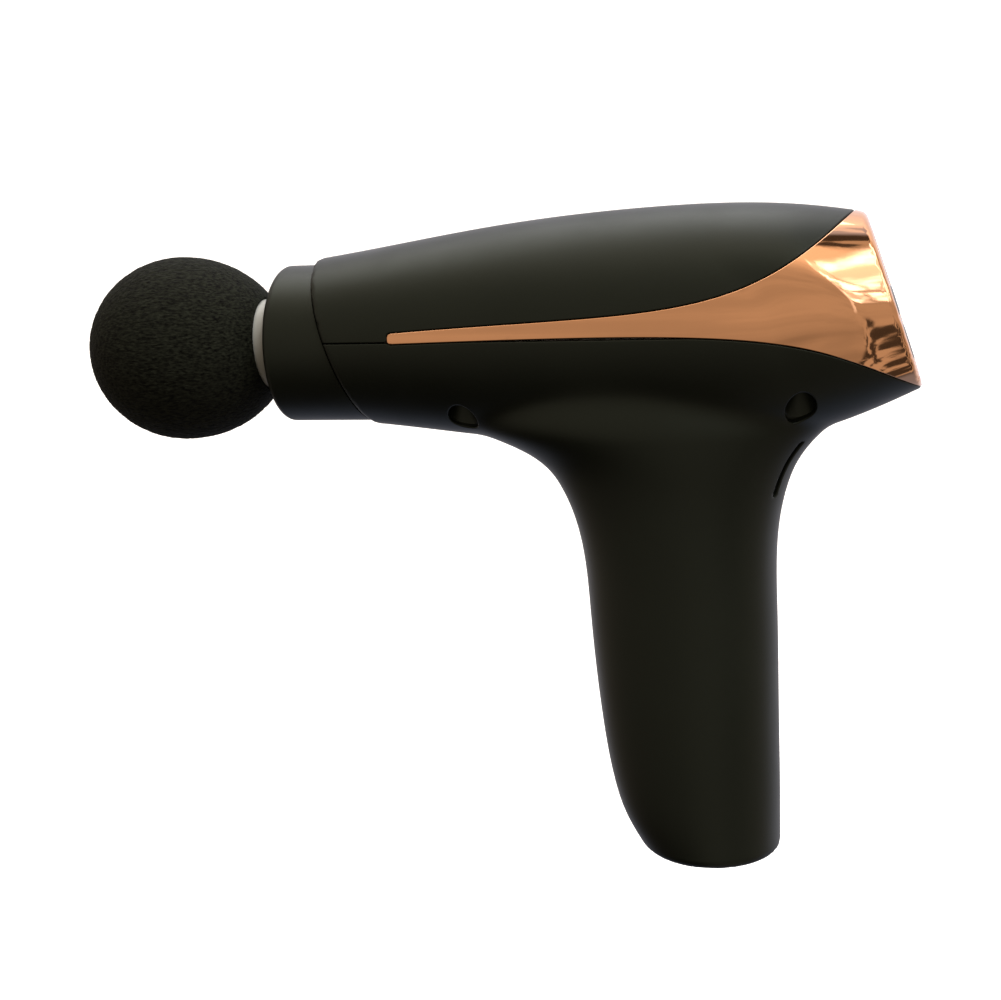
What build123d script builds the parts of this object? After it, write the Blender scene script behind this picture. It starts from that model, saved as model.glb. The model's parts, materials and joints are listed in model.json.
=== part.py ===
"""Percussion massage gun with a foam ball head, as a full assembly.

Millimetres. +X points to the rear, +Y across the gun, +Z up.
The origin is the centre of the hand grip.
"""
import os
from math import cos, hypot, radians, sin, tan

import numpy as np
from build123d import *

os.makedirs("parts", exist_ok=True)

# Overall layout
AXIS_Z = 90.6           # height of the piston axis above the grip centre
WALL = 2.4              # shell thickness
SEAM = 0.12             # half of the visible joint between two outer pieces
FIT = 0.04              # radial clearance of a running fit
SIDE = 60.0             # half-width swept by a side outline, wider than the gun
SPLIT_Z = 91.2          # joint between the upper and lower shells

# Barrel sections: x, lowest z, highest z, half-width
BARREL = [
    (-128.0, 69.0, 112.2, 21.4),
    (-100.0, 68.0, 115.9, 23.6),
    (-60.0, 63.7, 121.8, 26.6),
    (-15.0, 61.4, 125.5, 29.0),
    (25.0, 64.6, 124.6, 28.6),
    (62.0, 79.7, 117.6, 20.6),
]

# Handle sections: z, front x, rear x, half-width
BASE_Z = -52.0
HANDLE = [
    (BASE_Z, -19.5, 17.7, 21.2),
    (-43.0, -25.0, 17.7, 21.7),
    (-33.0, -28.4, 17.7, 22.0),
    (-15.0, -31.5, 17.5, 22.3),
    (15.0, -34.4, 17.2, 22.6),
    (36.0, -36.8, 17.4, 23.0),
    (50.0, -42.0, 20.0, 24.0),
    (60.0, -52.8, 25.0, 25.4),
    (66.0, -66.0, 30.0, 26.2),
    (76.0, -74.0, 34.0, 27.3),
    (86.0, -70.0, 32.0, 28.0),
]
BARREL_STEPS = 15
HANDLE_STEPS = 20
BASE_ROUND = 2.4
REAR_ROUND = 2.8

# Slanted joint between the collar and the shells
FRONT_X = -103.0        # at the piston axis
FRONT_LEAN = 18.2       # degrees back from the vertical
FRONT_NORMAL = (-cos(radians(FRONT_LEAN)), 0, -sin(radians(FRONT_LEAN)))
FRONT_ROUND = 1.5

# Slanted rear face
REAR_LEAN = 17.9
REAR_NORMAL = (cos(radians(REAR_LEAN)), 0, sin(radians(REAR_LEAN)))
REAR = Plane(origin=(47.9, 0, 99.15), x_dir=(0, 1, 0), z_dir=REAR_NORMAL)
REAR_WALL = 2.6

# Nose
COLLAR_R = 22.1
COLLAR_FRONT_X = -121.4
COLLAR_BORE_R = 17.3
SPIGOT_R = 19.4
SPIGOT_END_X = -94.0
NOSE_HOLE_R = 14.6

# Drive: crank below a horizontal piston, motor shaft upright
MOTOR_X = -9.0
THROW = 6.0             # half of the 12 mm stroke
CRANK_X = MOTOR_X + THROW
ROD_LENGTH = 52.0
WRIST_X = CRANK_X - ROD_LENGTH
PISTON_R = 11.6
PISTON_FRONT_X = -118.0
PISTON_REAR_X = -48.0
SOCKET_R = 9.04
SOCKET_DEPTH = 30.0
CLEVIS_FRONT_X = -64.5
CLEVIS_HALF = 4.8
ROD_HALF = 3.4
CRANK_PIN_R = 3.0
WRIST_PIN_R = 2.5
SHAFT_R = 2.5

# Heights of the drive
PLATE_TOP = AXIS_Z - 9.4
PLATE_LOW = PLATE_TOP - 4.0
DISC_LOW = PLATE_TOP + 0.8
DISC_TOP = AXIS_Z - ROD_HALF - 0.8
CUP_LOW = 57.0
CUP_TOP = 74.4
CUP_R = 20.0

# Head
BALL_X = -153.4
BALL_RX = 27.9          # towards the tip
BALL_REAR_RX = 30.8     # towards the neck
BALL_R = 26.5
NECK_R = 11.4
NECK_REAR_X = PISTON_FRONT_X - 0.35

# Battery
CELL_R = 9.1
CELL_LOW = -27.0
CELL_TOP = 38.0
PACK_X = -7.6
CELL_REACH = 10.6       # from the middle of the pack to each cell
CELLS = [(PACK_X - CELL_REACH, 0.0), (PACK_X + CELL_REACH / 2, 9.2), (PACK_X + CELL_REACH / 2, -9.2)]

# Screws
COVER_SCREWS = [(-66.0, 15.6), (-66.0, -15.6), (24.6, 19.0), (24.6, -19.0)]
SCREW_HOLE_R = 4.0
SCREW_SEAT_Z = 79.0
POST_TOP = 85.8
POST_R = 3.7
MOUNTS = [(-31.0, 15.0), (-31.0, -15.0), (12.0, 15.0), (12.0, -15.0)]

# Cooling vents behind the top of the grip
VENT_PITCH = 9.0
VENT_WIDTH = 1.7
VENT_LOW = 48.0
VENT_TOP = 62.8

# Rear panel: across, up the face, radius
PANEL_R = 20.4
PANEL_DEPTH = 1.6
PANEL_PROUD = -0.1
PANEL_OPENING_R = 18.0
BUTTONS = {"power": (0.0, -11.5, 4.8), "minus": (-10.5, 0.0, 3.8), "plus": (10.5, 0.0, 3.8)}
BUTTON_CLEARANCE = 0.35
LIGHTS = [(14.0 * cos(radians(a)), 14.0 * sin(radians(a))) for a in range(40, 141, 25)]
BOARD_W = -8.6          # front face of the display board, along the rear normal


def front_x(z):
    """Where the slanted front joint lies at a height."""
    return FRONT_X + (AXIS_Z - z) * tan(radians(FRONT_LEAN))


def smooth_through(rows):
    """Natural cubic spline through rows of a position and its values, as a function."""
    at = np.array([row[0] for row in rows])
    values = np.array([row[1:] for row in rows])
    step = np.diff(at)
    system = np.eye(len(at))
    bending = np.zeros_like(values)
    for i in range(1, len(at) - 1):
        system[i, i - 1:i + 2] = step[i - 1], 2 * (step[i - 1] + step[i]), step[i]
        bending[i] = 6 * ((values[i + 1] - values[i]) / step[i] - (values[i] - values[i - 1]) / step[i - 1])
    bending = np.linalg.solve(system, bending)

    def value(position):
        i = int(np.clip(np.searchsorted(at, position) - 1, 0, len(at) - 2))
        b = (position - at[i]) / step[i]
        a = 1 - b
        curve = ((a ** 3 - a) * bending[i] + (b ** 3 - b) * bending[i + 1]) * step[i] ** 2 / 6
        return [float(v) for v in a * values[i] + b * values[i + 1] + curve]

    return value


barrel_section = smooth_through(BARREL)
grip_section = smooth_through(HANDLE)


def barrel(inset):
    """Barrel envelope, shrunk by an inset."""
    with BuildPart() as body:
        for x in np.linspace(BARREL[0][0], BARREL[-1][0], BARREL_STEPS):
            low, high, half = barrel_section(x)
            with BuildSketch(Plane(origin=(x, 0, (low + high) / 2), x_dir=(0, 1, 0), z_dir=(1, 0, 0))):
                Ellipse(half - inset, (high - low) / 2 - inset)
        loft()
    return body.part


def grip(inset):
    """Handle envelope with its flare into the barrel, shrunk by an inset."""
    with BuildPart() as body:
        for z in np.linspace(BASE_Z + inset, HANDLE[-1][0], HANDLE_STEPS):
            front, rear, half = grip_section(z)
            with BuildSketch(Plane.XY.offset(z)):
                with Locations(((front + rear) / 2, 0)):
                    Ellipse((rear - front) / 2 - inset, half - inset)
        loft()
    return body.part


def trim_region(grow):
    """Side outline of the copper trim, with every edge moved out."""
    tip = -84.0 - grow
    with BuildSketch(Plane.XZ) as region:
        with BuildLine():
            Line((tip, 93.7 + grow), (tip, 90.7 - grow))
            Bezier((tip, 90.7 - grow), (24, 93.3 - grow), (25.5, 90.9 - grow), (58, 75 - grow))
            Polyline((58, 75 - grow), (80, 66), (80, 135), (43, 135), (38.8, 124.2 + grow))
            Bezier((38.8, 124.2 + grow), (12, 93.6 + grow), (-10.5, 98.6 + grow), (tip, 93.7 + grow))
        make_face()
        fillet(region.vertices().sort_by(Axis.X)[:2], 1.2)
    return region.sketch


def along_x(x0, x1, radius, mode=Mode.ADD):
    """Cylinder on the piston axis."""
    with Locations(Location(((x0 + x1) / 2, 0, AXIS_Z), (0, 90, 0))):
        Cylinder(radius, abs(x1 - x0), mode=mode)


def upright(x, y, z0, z1, radius, mode=Mode.ADD):
    """Upright cylinder between two heights."""
    with Locations((x, y, (z0 + z1) / 2)):
        Cylinder(radius, z1 - z0, mode=mode)


def block(x0, x1, y0, y1, z0, z1, mode=Mode.ADD):
    """Box between two corners."""
    with Locations(((x0 + x1) / 2, (y0 + y1) / 2, (z0 + z1) / 2)):
        Box(x1 - x0, y1 - y0, z1 - z0, mode=mode)


def on_panel(across, up, w0, w1, radius, mode=Mode.ADD):
    """Cylinder square to the rear face, between two depths."""
    with Locations(REAR * Location((across, up, (w0 + w1) / 2))):
        Cylinder(radius, w1 - w0, mode=mode)


def rear_half_space(depth, mode):
    """Everything beyond the rear face, starting at a depth below it."""
    with Locations(REAR * Location((0, 0, SIDE - depth))):
        Box(4 * SIDE, 4 * SIDE, 2 * SIDE, mode=mode)


# Envelope of the whole housing
with BuildPart() as outer:
    add(barrel(0))
    add(grip(0))
    rear_half_space(0, Mode.SUBTRACT)
    with BuildSketch(Plane.XZ) as front_cut:
        with BuildLine():
            Polyline((front_x(50) + SEAM, 50), (front_x(135) + SEAM, 135), (-160, 135), (-160, 50), close=True)
        make_face()
    extrude(amount=SIDE, both=True, mode=Mode.SUBTRACT)
    fillet(outer.faces().sort_by(Axis((0, 0, 0), FRONT_NORMAL))[-1].edges(), FRONT_ROUND)
    fillet(outer.faces().sort_by(Axis((0, 0, 0), REAR_NORMAL))[-1].edges(), REAR_ROUND)
    fillet(outer.faces().sort_by(Axis.Z)[0].edges(), BASE_ROUND)

with BuildPart() as cavity:
    add(barrel(WALL))
    add(grip(WALL))
    rear_half_space(REAR_WALL, Mode.SUBTRACT)

# Upper shell
with BuildPart() as upper_shell:
    add(outer.part)
    add(cavity.part, mode=Mode.SUBTRACT)
    for x, y in COVER_SCREWS[:2]:
        upright(x, y, AXIS_Z + 6.0, 118, POST_R)
    with BuildSketch(Plane.XZ) as upper_side:
        with BuildLine():
            Polyline((-140, SPLIT_Z + SEAM), (60, SPLIT_Z + SEAM), (60, 135), (-140, 135), close=True)
        make_face()
    extrude(amount=SIDE, both=True, mode=Mode.INTERSECT)
    extrude(trim_region(SEAM), amount=SIDE, both=True, mode=Mode.SUBTRACT)
    for x, y in COVER_SCREWS[:2]:
        upright(x, y, POST_TOP + 0.2, AXIS_Z + 8.0, POST_R)
        upright(x, y, POST_TOP, 98, 1.25, Mode.SUBTRACT)
    add(outer.part, mode=Mode.INTERSECT)

# Lower shell with the hand grip
with BuildPart() as lower_shell:
    add(outer.part)
    add(cavity.part, mode=Mode.SUBTRACT)
    for x, y in COVER_SCREWS:
        upright(x, y, 66, 81, 5.2)
        upright(x, y, 81, POST_TOP, POST_R)
    for x, y in MOUNTS:
        upright(x, y, 46, PLATE_LOW - 3.2, 4.0)
    with BuildSketch(Plane.XZ) as lower_side:
        with BuildLine():
            Polyline((-140, SPLIT_Z - SEAM), (60, SPLIT_Z - SEAM), (60, -60), (-140, -60), close=True)
        make_face()
    extrude(amount=SIDE, both=True, mode=Mode.INTERSECT)
    extrude(trim_region(SEAM), amount=SIDE, both=True, mode=Mode.SUBTRACT)
    add(outer.part, mode=Mode.INTERSECT)
    for x, y in COVER_SCREWS:
        upright(x, y, 55, SCREW_SEAT_Z, SCREW_HOLE_R, Mode.SUBTRACT)
        upright(x, y, SCREW_SEAT_Z, POST_TOP + 1, 1.7, Mode.SUBTRACT)
    for x, y in MOUNTS:
        upright(x, y, 60, PLATE_LOW, 1.25, Mode.SUBTRACT)
    for y in (-VENT_PITCH, 0, VENT_PITCH):
        block(12.5, 40, y - VENT_WIDTH / 2, y + VENT_WIDTH / 2, VENT_LOW, VENT_TOP, Mode.SUBTRACT)
    upright(-3, 0, BASE_Z - 1, BASE_Z + WALL + 1, 5.0, Mode.SUBTRACT)

# Copper trim with the rear wall
with BuildPart() as rear_trim:
    add(outer.part)
    add(cavity.part, mode=Mode.SUBTRACT)
    for x, y in COVER_SCREWS[2:]:
        upright(x, y, POST_TOP + 0.2, 100, 4.6)
    for angle in (90, 210, 330):
        on_panel(20.3 * cos(radians(angle)), 20.3 * sin(radians(angle)), BOARD_W + 1.6, -REAR_WALL, 1.9)
    add(outer.part, mode=Mode.INTERSECT)
    extrude(trim_region(0), amount=SIDE, both=True, mode=Mode.INTERSECT)
    for x, y in COVER_SCREWS[2:]:
        upright(x, y, POST_TOP, 98, 1.25, Mode.SUBTRACT)
    on_panel(0, 0, -PANEL_DEPTH, 5, PANEL_R + 0.1, Mode.SUBTRACT)
    on_panel(0, 0, -REAR_WALL - 1, 5, PANEL_OPENING_R, Mode.SUBTRACT)


# Nose collar: outer ring up to the slanted joint, and a spigot inside the shells
with BuildPart() as nose_collar:
    along_x(COLLAR_FRONT_X, -90, COLLAR_R)
    with BuildSketch(Plane.XZ) as collar_side:
        with BuildLine():
            Polyline((-140, 50), (front_x(50) - SEAM, 50), (front_x(135) - SEAM, 135), (-140, 135), close=True)
        make_face()
    extrude(amount=SIDE, both=True, mode=Mode.INTERSECT)
    fillet(nose_collar.edges().filter_by(GeomType.CIRCLE).sort_by(Axis.X)[0], 2.4)
    along_x(-116, SPIGOT_END_X, SPIGOT_R)
    along_x(COLLAR_FRONT_X + 3.0, -80, COLLAR_BORE_R, Mode.SUBTRACT)
    along_x(COLLAR_FRONT_X - 1, -80, NOSE_HOLE_R, Mode.SUBTRACT)
    hole_edges = nose_collar.edges().filter_by(GeomType.CIRCLE).filter_by(lambda e: abs(e.radius - NOSE_HOLE_R) < 0.01)
    fillet(hole_edges.sort_by(Axis.X)[0], 1.0)

with BuildPart() as nose_seal:
    along_x(COLLAR_FRONT_X + 3.05, COLLAR_FRONT_X + 5.0, COLLAR_BORE_R - 0.05)
    along_x(COLLAR_FRONT_X + 1.2, COLLAR_FRONT_X + 3.05, NOSE_HOLE_R - 0.05)
    along_x(-125, -100, PISTON_R + 0.35, Mode.SUBTRACT)

# Guide bush of the piston, held in the front wall of the frame
WALL_FRONT_X = -84.0
WALL_REAR_X = -79.0
BUSH_R = 16.8
with BuildPart() as guide_bush:
    along_x(COLLAR_FRONT_X + 5.2, WALL_REAR_X + 2, BUSH_R)
    along_x(WALL_FRONT_X - 3, WALL_FRONT_X - 0.02, 18.6)
    along_x(-125, -70, PISTON_R + FIT, Mode.SUBTRACT)
    for x in (-108, -96):
        with BuildSketch(Plane(origin=(x, 0, AXIS_Z), x_dir=(0, 1, 0), z_dir=(1, 0, 0))) as groove:
            Circle(BUSH_R + 1)
            Circle(BUSH_R - 1.2, mode=Mode.SUBTRACT)
        extrude(groove.sketch, amount=5, mode=Mode.SUBTRACT)

# Mechanism frame: front wall, floor under the piston, motor plate and bearing tube
TUBE_R = 6.8
BEARING_R = 5.0
TUBE_LOW = 60.4
with BuildPart() as mechanism_frame:
    along_x(WALL_FRONT_X, WALL_REAR_X, 20.0)
    block(WALL_REAR_X - 1, -43, -10, 10, PLATE_LOW - 3.6, PLATE_LOW)
    with BuildSketch(Plane.XY.offset(PLATE_LOW - 0.01)) as plate:
        with Locations((-14.5, 0)):
            RectangleRounded(63, 40, 7)
    extrude(amount=PLATE_TOP - PLATE_LOW + 0.01)
    upright(MOTOR_X, 0, TUBE_LOW, PLATE_LOW, TUBE_R)
    along_x(-90, -70, BUSH_R + 0.02, Mode.SUBTRACT)
    block(-50, PISTON_REAR_X + 1.2, -14, 14, PLATE_LOW + 0.2, PLATE_TOP + 1, Mode.SUBTRACT)
    upright(MOTOR_X, 0, TUBE_LOW - 1, PLATE_TOP + 1, BEARING_R - 1.0, Mode.SUBTRACT)
    upright(MOTOR_X, 0, TUBE_LOW - 1, TUBE_LOW + 4, BEARING_R, Mode.SUBTRACT)
    upright(MOTOR_X, 0, PLATE_TOP - 4, PLATE_TOP + 1, BEARING_R, Mode.SUBTRACT)
    for x, y in MOUNTS:
        upright(x, y, PLATE_LOW - 1, PLATE_TOP + 1, 1.7, Mode.SUBTRACT)
    for x in (-36, -24):
        with BuildSketch(Plane.XY.offset(PLATE_LOW - 1)) as lightening:
            with Locations((x, 0)):
                SlotOverall(16, 6, rotation=90)
        extrude(lightening.sketch, amount=8, mode=Mode.SUBTRACT)

with BuildPart() as rubber_mounts:
    for x, y in MOUNTS:
        upright(x, y, PLATE_LOW - 3.15, PLATE_LOW - 0.05, 3.8)
        upright(x, y, PLATE_LOW - 4, PLATE_LOW + 1, 1.7, Mode.SUBTRACT)

with BuildPart() as frame_screws:
    for x, y in MOUNTS:
        upright(x, y, PLATE_TOP + 0.02, PLATE_TOP + 2.2, 3.0)
        upright(x, y, 63, PLATE_TOP + 0.5, 1.25)
        with BuildSketch(Plane.XY.offset(PLATE_TOP + 1.0)) as socket:
            with Locations((x, y)):
                RegularPolygon(1.3, 6)
        extrude(socket.sketch, amount=2, mode=Mode.SUBTRACT)

with BuildPart() as cover_screws:
    for x, y in COVER_SCREWS:
        upright(x, y, SCREW_SEAT_Z - 2.2, SCREW_SEAT_Z - 0.02, 2.8)
        upright(x, y, SCREW_SEAT_Z - 0.5, 96, 1.25)
        with BuildSketch(Plane.XY.offset(SCREW_SEAT_Z - 2.3)) as socket:
            with Locations((x, y)):
                RegularPolygon(1.3, 6)
        extrude(socket.sketch, amount=1.4, mode=Mode.SUBTRACT)

# Motor: stator fixed on the tube, cup-shaped rotor round it
TEETH = 12
STATOR_R = 16.3
STATOR_LOW = 62.4
STATOR_TOP = 72.4
with BuildPart() as stator_core:
    with BuildSketch(Plane.XY.offset(STATOR_LOW)) as lamination:
        with Locations((MOTOR_X, 0)):
            Circle(9.2)
            Circle(TUBE_R + 0.02, mode=Mode.SUBTRACT)
            with PolarLocations(12, TEETH):
                Rectangle(7, 2.2)
            with PolarLocations(15.5, TEETH):
                Rectangle(1.6, 6.4)
    extrude(amount=STATOR_TOP - STATOR_LOW)

with BuildPart() as stator_coils:
    with Locations((MOTOR_X, 0, (STATOR_LOW + STATOR_TOP) / 2)):
        with PolarLocations(12.1, TEETH):
            Box(4.4, 4.8, STATOR_TOP - STATOR_LOW + 2.2)
        with PolarLocations(12.1, TEETH):
            Box(5, 2.3, STATOR_TOP - STATOR_LOW + 0.1, mode=Mode.SUBTRACT)
    fillet(stator_coils.edges().filter_by(GeomType.LINE).filter_by(Axis.Z).group_by(
        lambda e: round(hypot(e.center().X - MOTOR_X, e.center().Y), 2))[-1], 0.6)

with BuildPart() as motor_bearings:
    for z in (TUBE_LOW + 0.02, PLATE_TOP - 3.98):
        upright(MOTOR_X, 0, z, z + 3.9, BEARING_R - 0.01)
        upright(MOTOR_X, 0, z - 1, z + 5, SHAFT_R + 0.02, Mode.SUBTRACT)
        for face in (z, z + 3.9):
            with BuildSketch(Plane.XY.offset(face - 0.4)) as race:
                with Locations((MOTOR_X, 0)):
                    Circle(4.3)
                    Circle(3.3, mode=Mode.SUBTRACT)
            extrude(race.sketch, amount=0.8, mode=Mode.SUBTRACT)

with BuildPart() as motor_rotor:
    upright(MOTOR_X, 0, CUP_LOW, CUP_TOP, CUP_R)
    fillet(motor_rotor.edges().group_by(Axis.Z)[0], 1.2)
    upright(MOTOR_X, 0, CUP_LOW + 2, CUP_TOP + 1, CUP_R - 1.4, Mode.SUBTRACT)
    upright(MOTOR_X, 0, CUP_LOW, TUBE_LOW - 0.4, 3.4)
    upright(MOTOR_X, 0, CUP_LOW - 1, TUBE_LOW + 1, SHAFT_R + 0.005, Mode.SUBTRACT)
    with Locations((MOTOR_X, 0, CUP_LOW + 1)):
        with PolarLocations(11.5, 6):
            Cylinder(3.2, 4, mode=Mode.SUBTRACT)

MAGNETS = 14
with BuildPart() as rotor_magnets:
    with BuildSketch(Plane.XY.offset(CUP_LOW + 4)) as magnet_ring:
        with Locations((MOTOR_X, 0)):
            Circle(CUP_R - 1.42)
            Circle(CUP_R - 2.8, mode=Mode.SUBTRACT)
            with PolarLocations(CUP_R - 2, MAGNETS):
                Rectangle(4, 0.8, mode=Mode.SUBTRACT)
    extrude(amount=12.4)

with BuildPart() as motor_shaft:
    upright(MOTOR_X, 0, CUP_LOW - 5.5, DISC_TOP, SHAFT_R)
    chamfer(motor_shaft.edges().group_by(Axis.Z)[-1], 0.3)

with BuildPart() as cooling_fan:
    upright(MOTOR_X, 0, CUP_LOW - 1.4, CUP_LOW - 0.02, 19.0)
    upright(MOTOR_X, 0, CUP_LOW - 6, CUP_LOW - 1, 5.0)
    with Locations((MOTOR_X, 0, CUP_LOW - 3.5)):
        with PolarLocations(12.5, 9):
            with Locations(Location((0, 0, 0), (0, 0, 28))):
                Box(12, 1.1, 4.6)
    upright(MOTOR_X, 0, CUP_LOW - 8, CUP_LOW + 1, SHAFT_R + 0.005, Mode.SUBTRACT)

# Crank
with BuildPart() as crank_disc:
    upright(MOTOR_X, 0, DISC_LOW, DISC_TOP, 11.0)
    with BuildSketch(Plane.XY.offset(DISC_LOW)) as counterweight:
        with Locations((MOTOR_X, 0)):
            Circle(15.5)
        with Locations((MOTOR_X + 13, 0)):
            Rectangle(32, 40, mode=Mode.SUBTRACT)
    extrude(amount=DISC_TOP - DISC_LOW)
    chamfer(crank_disc.edges().group_by(Axis.Z)[-1], 0.4)
    upright(MOTOR_X, 0, DISC_LOW - 1, DISC_TOP + 1, SHAFT_R + 0.005, Mode.SUBTRACT)
    upright(CRANK_X, 0, DISC_LOW + 1, DISC_TOP + 1, CRANK_PIN_R + 0.005, Mode.SUBTRACT)

with BuildPart() as crank_pin:
    upright(CRANK_X, 0, DISC_LOW + 1.02, AXIS_Z + ROD_HALF + 1.2, CRANK_PIN_R)
    chamfer(crank_pin.edges().group_by(Axis.Z)[-1], 0.4)

# Connecting rod with the big-end bearing and the wrist pin
BIG_BEARING_R = 6.5
with BuildPart() as connecting_rod:
    with BuildSketch(Plane.XY.offset(AXIS_Z - ROD_HALF)) as rod_outline:
        with Locations((CRANK_X, 0)):
            Circle(9.4)
        with Locations((WRIST_X, 0)):
            Circle(6.2)
        with BuildLine():
            Polyline((CRANK_X, -6.6), (CRANK_X, 6.6), (WRIST_X, 4.4), (WRIST_X, -4.4), close=True)
        make_face()
    extrude(amount=2 * ROD_HALF)
    for z in (AXIS_Z - ROD_HALF, AXIS_Z + ROD_HALF - 1.8):
        with BuildSketch(Plane.XY.offset(z)) as web:
            with Locations(((CRANK_X + WRIST_X) / 2 - 1, 0)):
                SlotOverall(30, 4.6)
        extrude(web.sketch, amount=1.8, mode=Mode.SUBTRACT)
    upright(CRANK_X, 0, AXIS_Z - 5, AXIS_Z + 5, BIG_BEARING_R + 0.01, Mode.SUBTRACT)
    upright(WRIST_X, 0, AXIS_Z - 5, AXIS_Z + 5, WRIST_PIN_R + 0.01, Mode.SUBTRACT)

with BuildPart() as big_end_bearing:
    upright(CRANK_X, 0, AXIS_Z - ROD_HALF, AXIS_Z + ROD_HALF, BIG_BEARING_R)
    upright(CRANK_X, 0, AXIS_Z - 5, AXIS_Z + 5, CRANK_PIN_R + 0.02, Mode.SUBTRACT)

with BuildPart() as wrist_pin:
    upright(WRIST_X, 0, AXIS_Z - ROD_HALF - 0.8, AXIS_Z + ROD_HALF + 0.8, WRIST_PIN_R)
    chamfer(wrist_pin.edges().group_by(Axis.Z)[0] + wrist_pin.edges().group_by(Axis.Z)[-1], 0.3)

# Piston with the head socket in front and an open clevis behind
with BuildPart() as piston:
    along_x(PISTON_FRONT_X, PISTON_REAR_X, PISTON_R)
    chamfer(piston.edges().filter_by(GeomType.CIRCLE).sort_by(Axis.X)[0], 0.6)
    along_x(PISTON_FRONT_X - 1, PISTON_FRONT_X + SOCKET_DEPTH, SOCKET_R, Mode.SUBTRACT)
    along_x(PISTON_FRONT_X + SOCKET_DEPTH + 4, CLEVIS_FRONT_X + 1, 7.0, Mode.SUBTRACT)
    block(CLEVIS_FRONT_X, PISTON_REAR_X + 1, -20, 20, AXIS_Z - CLEVIS_HALF, AXIS_Z + CLEVIS_HALF, Mode.SUBTRACT)

# Massage head: stem with two O-rings and a foam ball
ORING = 1.0
ORING_X = (-110.0, -98.0)
STEM_R = SOCKET_R - 0.09
CORE_END_X = -158.0
with BuildPart() as head_stem:
    along_x(-131, NECK_REAR_X, NECK_R)
    fillet(head_stem.edges().filter_by(GeomType.CIRCLE), 0.8)
    along_x(NECK_REAR_X - 2, PISTON_FRONT_X + SOCKET_DEPTH - 1.5, STEM_R)
    chamfer(head_stem.edges().filter_by(GeomType.CIRCLE).sort_by(Axis.X)[-1], 1.2)
    along_x(CORE_END_X, -128, 7.0)
    along_x(CORE_END_X, CORE_END_X + 3, 11.0)
    along_x(NECK_REAR_X, PISTON_FRONT_X + SOCKET_DEPTH + 5, 5.5, Mode.SUBTRACT)
    for x in ORING_X:
        with BuildSketch(Plane(origin=(x - 1.1, 0, AXIS_Z), x_dir=(0, 1, 0), z_dir=(1, 0, 0))) as oring_groove:
            Circle(STEM_R + 1)
            Circle(STEM_R - 2.05, mode=Mode.SUBTRACT)
        extrude(oring_groove.sketch, amount=2.2, mode=Mode.SUBTRACT)

with BuildPart() as stem_orings:
    for x in ORING_X:
        with Locations(Location((x, 0, AXIS_Z), (0, 90, 0))):
            Torus(SOCKET_R - 0.05 - ORING, ORING)

with BuildPart() as foam_ball:
    with BuildSketch(Plane.XZ) as ball_half:
        with BuildLine():
            EllipticalCenterArc((BALL_X, AXIS_Z), BALL_REAR_RX, BALL_R, start_angle=0, arc_size=90)
            EllipticalCenterArc((BALL_X, AXIS_Z), BALL_RX, BALL_R, start_angle=90, arc_size=90)
            Line((BALL_X - BALL_RX, AXIS_Z), (BALL_X + BALL_REAR_RX, AXIS_Z))
        make_face()
    revolve(axis=Axis((0, 0, AXIS_Z), (1, 0, 0)))
    along_x(-131.02, -120, NECK_R + 0.02, Mode.SUBTRACT)
    along_x(CORE_END_X - 0.02, -128, 7.02, Mode.SUBTRACT)
    along_x(CORE_END_X - 0.02, CORE_END_X + 3.02, 11.02, Mode.SUBTRACT)

# Rear panel with its lights, buttons and board
with BuildPart() as display_window:
    on_panel(0, 0, -PANEL_DEPTH + 0.02, PANEL_PROUD, PANEL_R)
    fillet(display_window.edges().filter_by(GeomType.CIRCLE).sort_by(Axis((0, 0, 0), REAR_NORMAL))[-1], 0.25)
    for across, up, radius in BUTTONS.values():
        on_panel(across, up, -3, 3, radius + BUTTON_CLEARANCE, Mode.SUBTRACT)
    for across, up in LIGHTS:
        on_panel(across, up, -3, 3, 1.0, Mode.SUBTRACT)

with BuildPart() as light_lenses:
    for across, up in LIGHTS:
        on_panel(across, up, -PANEL_DEPTH + 0.1, PANEL_PROUD, 0.98)

STEM_W = -5.0           # inner end of a button
SWITCH_W = -6.2         # face of a switch
button_parts = {}
for button_name, (across, up, radius) in BUTTONS.items():
    with BuildPart() as button:
        on_panel(across, up, -2.0, PANEL_PROUD + 0.25, radius)
        fillet(button.edges().filter_by(GeomType.CIRCLE).sort_by(Axis((0, 0, 0), REAR_NORMAL))[-1], 0.4)
        on_panel(across, up, -2.8, -2.0, radius + 0.8)
        on_panel(across, up, STEM_W, -2.8, 1.5)
    button_parts[button_name] = button

with BuildPart() as display_board:
    on_panel(0, 0, BOARD_W, BOARD_W + 1.58, 20.6)

with BuildPart() as panel_switches:
    for across, up, _ in BUTTONS.values():
        with Locations(REAR * Location((across, up, (BOARD_W + 1.6 + SWITCH_W - 0.3) / 2))):
            Box(5, 5, SWITCH_W - 0.3 - BOARD_W - 1.6)
        on_panel(across, up, SWITCH_W - 0.4, SWITCH_W, 1.6)

# Hand grip: battery pack, boards and charge socket
with BuildPart() as battery_cells:
    for x, y in CELLS:
        upright(x, y, CELL_LOW, CELL_TOP - 0.8, CELL_R)
    fillet(battery_cells.edges().filter_by(GeomType.CIRCLE), 0.7)
    for x, y in CELLS:
        upright(x, y, CELL_TOP - 1, CELL_TOP, 3.0)


def cell_holder(z0, z1):
    """Ring round the three cells that fills the grip at one height."""
    with BuildPart() as holder:
        add(grip(WALL + 0.25))
        block(-60, 7.5, -40, 40, z0, z1, Mode.INTERSECT)
        for x, y in CELLS:
            upright(x, y, z0 - 1, z1 + 1, CELL_R + 0.05, Mode.SUBTRACT)
    return holder


cell_holder_top = cell_holder(29.0, 34.0)
cell_holder_bottom = cell_holder(-24.0, -19.0)

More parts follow.
